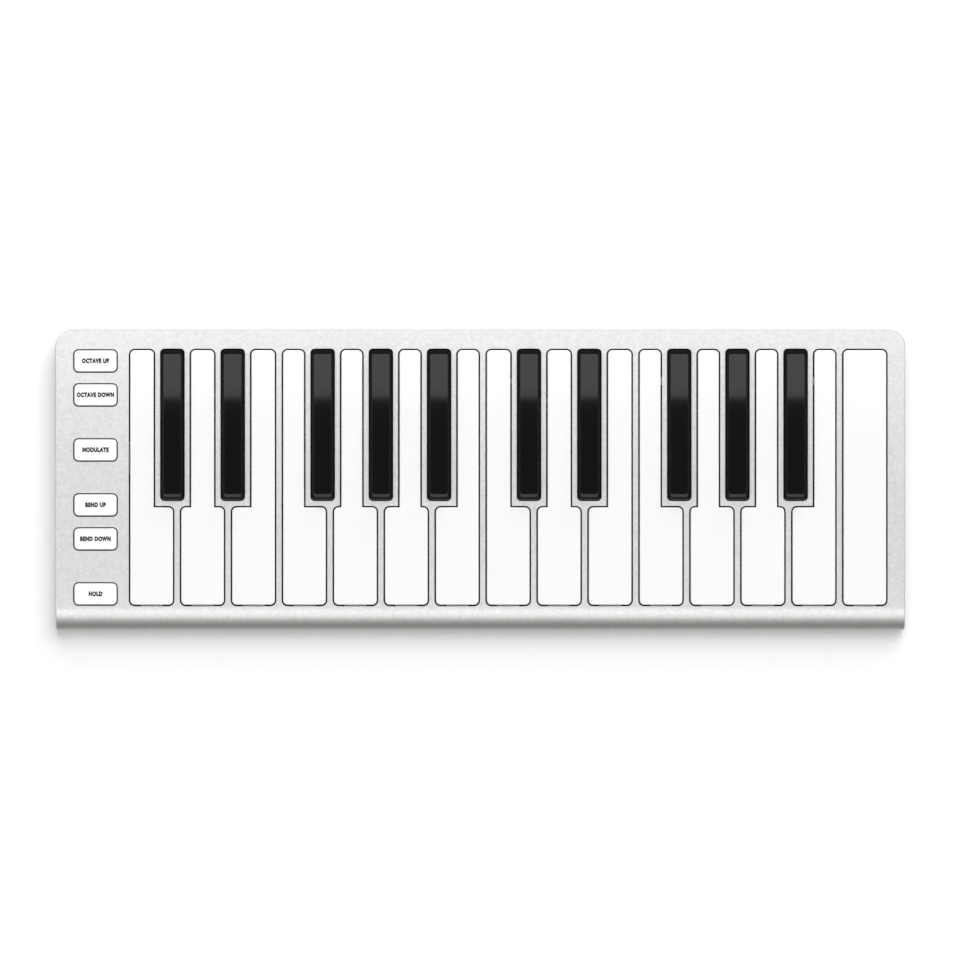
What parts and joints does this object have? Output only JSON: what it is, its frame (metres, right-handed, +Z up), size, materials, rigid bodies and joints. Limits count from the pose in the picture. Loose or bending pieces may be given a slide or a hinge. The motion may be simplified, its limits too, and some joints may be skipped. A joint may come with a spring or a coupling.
{
  "type": "midi keyboard",
  "caption": "Slim USB MIDI controller keyboard: rolled-front metal shell, near full-size white and black keys on a rear hinge rod, and a column of small function buttons.",
  "frame": {"origin": "on the surface that the feet stand on, under the middle of the case", "axes": "+X along the keys from bass to treble, +Y towards the rear (away from the player), +Z up"},
  "size_m": [0.387, 0.1366, 0.016],
  "materials": {
    "shell_aluminium": "fine bead-blasted silver anodising",
    "cover_plastic": "fine moulded texture, silver grey",
    "foot_rubber": "matt",
    "white_keys": "polished",
    "black_keys": "polished top, matt sides",
    "button_caps": "satin with small dark printed words",
    "chassis_steel": "black-passivated sheet",
    "insulator_film": "black film",
    "circuit_board": "black solder mask over copper tracks",
    "silicone": "dark grey silicone, satin",
    "black_plastic": "moulded",
    "bright_steel": "ground rod",
    "felt": "pressed charcoal felt",
    "plated_steel": "tin-plated sheet",
    "chip_plastic": "moulded epoxy with tinned leads",
    "capacitor_ceramic": "ceramic",
    "ribbon_plastic": "white film with printed conductors",
    "connector_plastic": "moulded nylon",
    "screw_steel": "nickel-plated"
  },
  "bodies": {
    "case": {"top_shell": "shell_aluminium", "bottom_cover": "cover_plastic", "rubber_feet": "foot_rubber", "chassis_plate": "chassis_steel", "insulator_sheet": "insulator_film", "key_board": "circuit_board", "button_board": "circuit_board", "white_dome_strip": "silicone", "black_dome_strip": "silicone", "button_dome_sheet": "silicone", "white_guide_rail": "black_plastic", "black_guide_rail": "black_plastic", "hinge_rail": "black_plastic", "hinge_rod": "bright_steel", "front_stop_felt": "felt", "up_stop_felt": "felt", "black_stop_felt": "felt", "black_up_stop_pads": "felt", "usb_socket_shell": "plated_steel", "usb_contact_tongue": "black_plastic", "controller_chip": "chip_plastic", "driver_chips": "chip_plastic", "matrix_diodes": "chip_plastic", "board_capacitors": "capacitor_ceramic", "ribbon_cable": "ribbon_plastic", "ribbon_connectors": "connector_plastic", "case_screws": "screw_steel", "board_screws": "screw_steel", "hinge_rail_screws": "screw_steel"},
    "white_key_01": {"white_key_01": "white_keys"},
    "white_key_02": {"white_key_02": "white_keys"},
    "white_key_03": {"white_key_03": "white_keys"},
    "white_key_04": {"white_key_04": "white_keys"},
    "white_key_05": {"white_key_05": "white_keys"},
    "white_key_06": {"white_key_06": "white_keys"},
    "white_key_07": {"white_key_07": "white_keys"},
    "white_key_08": {"white_key_08": "white_keys"},
    "white_key_09": {"white_key_09": "white_keys"},
    "white_key_10": {"white_key_10": "white_keys"},
    "white_key_11": {"white_key_11": "white_keys"},
    "white_key_12": {"white_key_12": "white_keys"},
    "white_key_13": {"white_key_13": "white_keys"},
    "white_key_14": {"white_key_14": "white_keys"},
    "white_key_15": {"white_key_15": "white_keys"},
    "black_key_01": {"black_key_01": "black_keys"},
    "black_key_02": {"black_key_02": "black_keys"},
    "black_key_03": {"black_key_03": "black_keys"},
    "black_key_04": {"black_key_04": "black_keys"},
    "black_key_05": {"black_key_05": "black_keys"},
    "black_key_06": {"black_key_06": "black_keys"},
    "black_key_07": {"black_key_07": "black_keys"},
    "black_key_08": {"black_key_08": "black_keys"},
    "black_key_09": {"black_key_09": "black_keys"},
    "black_key_10": {"black_key_10": "black_keys"},
    "octave_up_button": {"octave_up_button": "button_caps"},
    "octave_down_button": {"octave_down_button": "button_caps"},
    "modulation_button": {"modulation_button": "button_caps"},
    "bend_up_button": {"bend_up_button": "button_caps"},
    "bend_down_button": {"bend_down_button": "button_caps"},
    "sustain_button": {"sustain_button": "button_caps"}
  },
  "joints": [
    {"name": "white_key_01_press", "type": "hinge", "parent": "case", "child": "white_key_01", "pos_m": [-0.14991, 0.063, 0.008], "axis": [1, 0, 0], "range_deg": [0, 1.43], "stiffness_Nm_per_rad": 0.15, "springref_deg": -17.19, "deforming": ["white_dome_strip"]},
    {"name": "white_key_02_press", "type": "hinge", "parent": "case", "child": "white_key_02", "pos_m": [-0.12669, 0.063, 0.008], "axis": [1, 0, 0], "range_deg": [0, 1.43], "stiffness_Nm_per_rad": 0.15, "springref_deg": -17.19, "deforming": ["white_dome_strip"]},
    {"name": "white_key_03_press", "type": "hinge", "parent": "case", "child": "white_key_03", "pos_m": [-0.10347, 0.063, 0.008], "axis": [1, 0, 0], "range_deg": [0, 1.43], "stiffness_Nm_per_rad": 0.15, "springref_deg": -17.19, "deforming": ["white_dome_strip"]},
    {"name": "white_key_04_press", "type": "hinge", "parent": "case", "child": "white_key_04", "pos_m": [-0.08025, 0.063, 0.008], "axis": [1, 0, 0], "range_deg": [0, 1.43], "stiffness_Nm_per_rad": 0.15, "springref_deg": -17.19, "deforming": ["white_dome_strip"]},
    {"name": "white_key_05_press", "type": "hinge", "parent": "case", "child": "white_key_05", "pos_m": [-0.05703, 0.063, 0.008], "axis": [1, 0, 0], "range_deg": [0, 1.43], "stiffness_Nm_per_rad": 0.15, "springref_deg": -17.19, "deforming": ["white_dome_strip"]},
    {"name": "white_key_06_press", "type": "hinge", "parent": "case", "child": "white_key_06", "pos_m": [-0.03381, 0.063, 0.008], "axis": [1, 0, 0], "range_deg": [0, 1.43], "stiffness_Nm_per_rad": 0.15, "springref_deg": -17.19, "deforming": ["white_dome_strip"]},
    {"name": "white_key_07_press", "type": "hinge", "parent": "case", "child": "white_key_07", "pos_m": [-0.01059, 0.063, 0.008], "axis": [1, 0, 0], "range_deg": [0, 1.43], "stiffness_Nm_per_rad": 0.15, "springref_deg": -17.19, "deforming": ["white_dome_strip"]},
    {"name": "white_key_08_press", "type": "hinge", "parent": "case", "child": "white_key_08", "pos_m": [0.01263, 0.063, 0.008], "axis": [1, 0, 0], "range_deg": [0, 1.43], "stiffness_Nm_per_rad": 0.15, "springref_deg": -17.19, "deforming": ["white_dome_strip"]},
    {"name": "white_key_09_press", "type": "hinge", "parent": "case", "child": "white_key_09", "pos_m": [0.03585, 0.063, 0.008], "axis": [1, 0, 0], "range_deg": [0, 1.43], "stiffness_Nm_per_rad": 0.15, "springref_deg": -17.19, "deforming": ["white_dome_strip"]},
    {"name": "white_key_10_press", "type": "hinge", "parent": "case", "child": "white_key_10", "pos_m": [0.05907, 0.063, 0.008], "axis": [1, 0, 0], "range_deg": [0, 1.43], "stiffness_Nm_per_rad": 0.15, "springref_deg": -17.19, "deforming": ["white_dome_strip"]},
    {"name": "white_key_11_press", "type": "hinge", "parent": "case", "child": "white_key_11", "pos_m": [0.08229, 0.063, 0.008], "axis": [1, 0, 0], "range_deg": [0, 1.43], "stiffness_Nm_per_rad": 0.15, "springref_deg": -17.19, "deforming": ["white_dome_strip"]},
    {"name": "white_key_12_press", "type": "hinge", "parent": "case", "child": "white_key_12", "pos_m": [0.10551, 0.063, 0.008], "axis": [1, 0, 0], "range_deg": [0, 1.43], "stiffness_Nm_per_rad": 0.15, "springref_deg": -17.19, "deforming": ["white_dome_strip"]},
    {"name": "white_key_13_press", "type": "hinge", "parent": "case", "child": "white_key_13", "pos_m": [0.12873, 0.063, 0.008], "axis": [1, 0, 0], "range_deg": [0, 1.43], "stiffness_Nm_per_rad": 0.15, "springref_deg": -17.19, "deforming": ["white_dome_strip"]},
    {"name": "white_key_14_press", "type": "hinge", "parent": "case", "child": "white_key_14", "pos_m": [0.15195, 0.063, 0.008], "axis": [1, 0, 0], "range_deg": [0, 1.43], "stiffness_Nm_per_rad": 0.15, "springref_deg": -17.19, "deforming": ["white_dome_strip"]},
    {"name": "white_key_15_press", "type": "hinge", "parent": "case", "child": "white_key_15", "pos_m": [0.17517, 0.063, 0.008], "axis": [1, 0, 0], "range_deg": [0, 1.43], "stiffness_Nm_per_rad": 0.15, "springref_deg": -17.19, "deforming": ["white_dome_strip"]},
    {"name": "black_key_01_press", "type": "hinge", "parent": "case", "child": "black_key_01", "pos_m": [-0.14045, 0.063, 0.008], "axis": [1, 0, 0], "range_deg": [0, 1.9], "stiffness_Nm_per_rad": 0.12, "springref_deg": -14.32, "deforming": ["black_dome_strip"]},
    {"name": "black_key_02_press", "type": "hinge", "parent": "case", "child": "black_key_02", "pos_m": [-0.11293, 0.063, 0.008], "axis": [1, 0, 0], "range_deg": [0, 1.9], "stiffness_Nm_per_rad": 0.12, "springref_deg": -14.32, "deforming": ["black_dome_strip"]},
    {"name": "black_key_03_press", "type": "hinge", "parent": "case", "child": "black_key_03", "pos_m": [-0.07194, 0.063, 0.008], "axis": [1, 0, 0], "range_deg": [0, 1.9], "stiffness_Nm_per_rad": 0.12, "springref_deg": -14.32, "deforming": ["black_dome_strip"]},
    {"name": "black_key_04_press", "type": "hinge", "parent": "case", "child": "black_key_04", "pos_m": [-0.04542, 0.063, 0.008], "axis": [1, 0, 0], "range_deg": [0, 1.9], "stiffness_Nm_per_rad": 0.12, "springref_deg": -14.32, "deforming": ["black_dome_strip"]},
    {"name": "black_key_05_press", "type": "hinge", "parent": "case", "child": "black_key_05", "pos_m": [-0.0189, 0.063, 0.008], "axis": [1, 0, 0], "range_deg": [0, 1.9], "stiffness_Nm_per_rad": 0.12, "springref_deg": -14.32, "deforming": ["black_dome_strip"]},
    {"name": "black_key_06_press", "type": "hinge", "parent": "case", "child": "black_key_06", "pos_m": [0.02209, 0.063, 0.008], "axis": [1, 0, 0], "range_deg": [0, 1.9], "stiffness_Nm_per_rad": 0.12, "springref_deg": -14.32, "deforming": ["black_dome_strip"]},
    {"name": "black_key_07_press", "type": "hinge", "parent": "case", "child": "black_key_07", "pos_m": [0.04961, 0.063, 0.008], "axis": [1, 0, 0], "range_deg": [0, 1.9], "stiffness_Nm_per_rad": 0.12, "springref_deg": -14.32, "deforming": ["black_dome_strip"]},
    {"name": "black_key_08_press", "type": "hinge", "parent": "case", "child": "black_key_08", "pos_m": [0.0906, 0.063, 0.008], "axis": [1, 0, 0], "range_deg": [0, 1.9], "stiffness_Nm_per_rad": 0.12, "springref_deg": -14.32, "deforming": ["black_dome_strip"]},
    {"name": "black_key_09_press", "type": "hinge", "parent": "case", "child": "black_key_09", "pos_m": [0.11712, 0.063, 0.008], "axis": [1, 0, 0], "range_deg": [0, 1.9], "stiffness_Nm_per_rad": 0.12, "springref_deg": -14.32, "deforming": ["black_dome_strip"]},
    {"name": "black_key_10_press", "type": "hinge", "parent": "case", "child": "black_key_10", "pos_m": [0.14364, 0.063, 0.008], "axis": [1, 0, 0], "range_deg": [0, 1.9], "stiffness_Nm_per_rad": 0.12, "springref_deg": -14.32, "deforming": ["black_dome_strip"]},
    {"name": "octave_up_button_press", "type": "slide", "parent": "case", "child": "octave_up_button", "axis": [0, 0, -1], "range_m": [0, 0.001], "stiffness_N_per_m": 200, "springref_m": -0.003, "deforming": ["button_dome_sheet"]},
    {"name": "octave_down_button_press", "type": "slide", "parent": "case", "child": "octave_down_button", "axis": [0, 0, -1], "range_m": [0, 0.001], "stiffness_N_per_m": 200, "springref_m": -0.003, "deforming": ["button_dome_sheet"]},
    {"name": "modulation_button_press", "type": "slide", "parent": "case", "child": "modulation_button", "axis": [0, 0, -1], "range_m": [0, 0.001], "stiffness_N_per_m": 200, "springref_m": -0.003, "deforming": ["button_dome_sheet"]},
    {"name": "bend_up_button_press", "type": "slide", "parent": "case", "child": "bend_up_button", "axis": [0, 0, -1], "range_m": [0, 0.001], "stiffness_N_per_m": 200, "springref_m": -0.003, "deforming": ["button_dome_sheet"]},
    {"name": "bend_down_button_press", "type": "slide", "parent": "case", "child": "bend_down_button", "axis": [0, 0, -1], "range_m": [0, 0.001], "stiffness_N_per_m": 200, "springref_m": -0.003, "deforming": ["button_dome_sheet"]},
    {"name": "sustain_button_press", "type": "slide", "parent": "case", "child": "sustain_button", "axis": [0, 0, -1], "range_m": [0, 0.001], "stiffness_N_per_m": 200, "springref_m": -0.003, "deforming": ["button_dome_sheet"]}
  ]
}
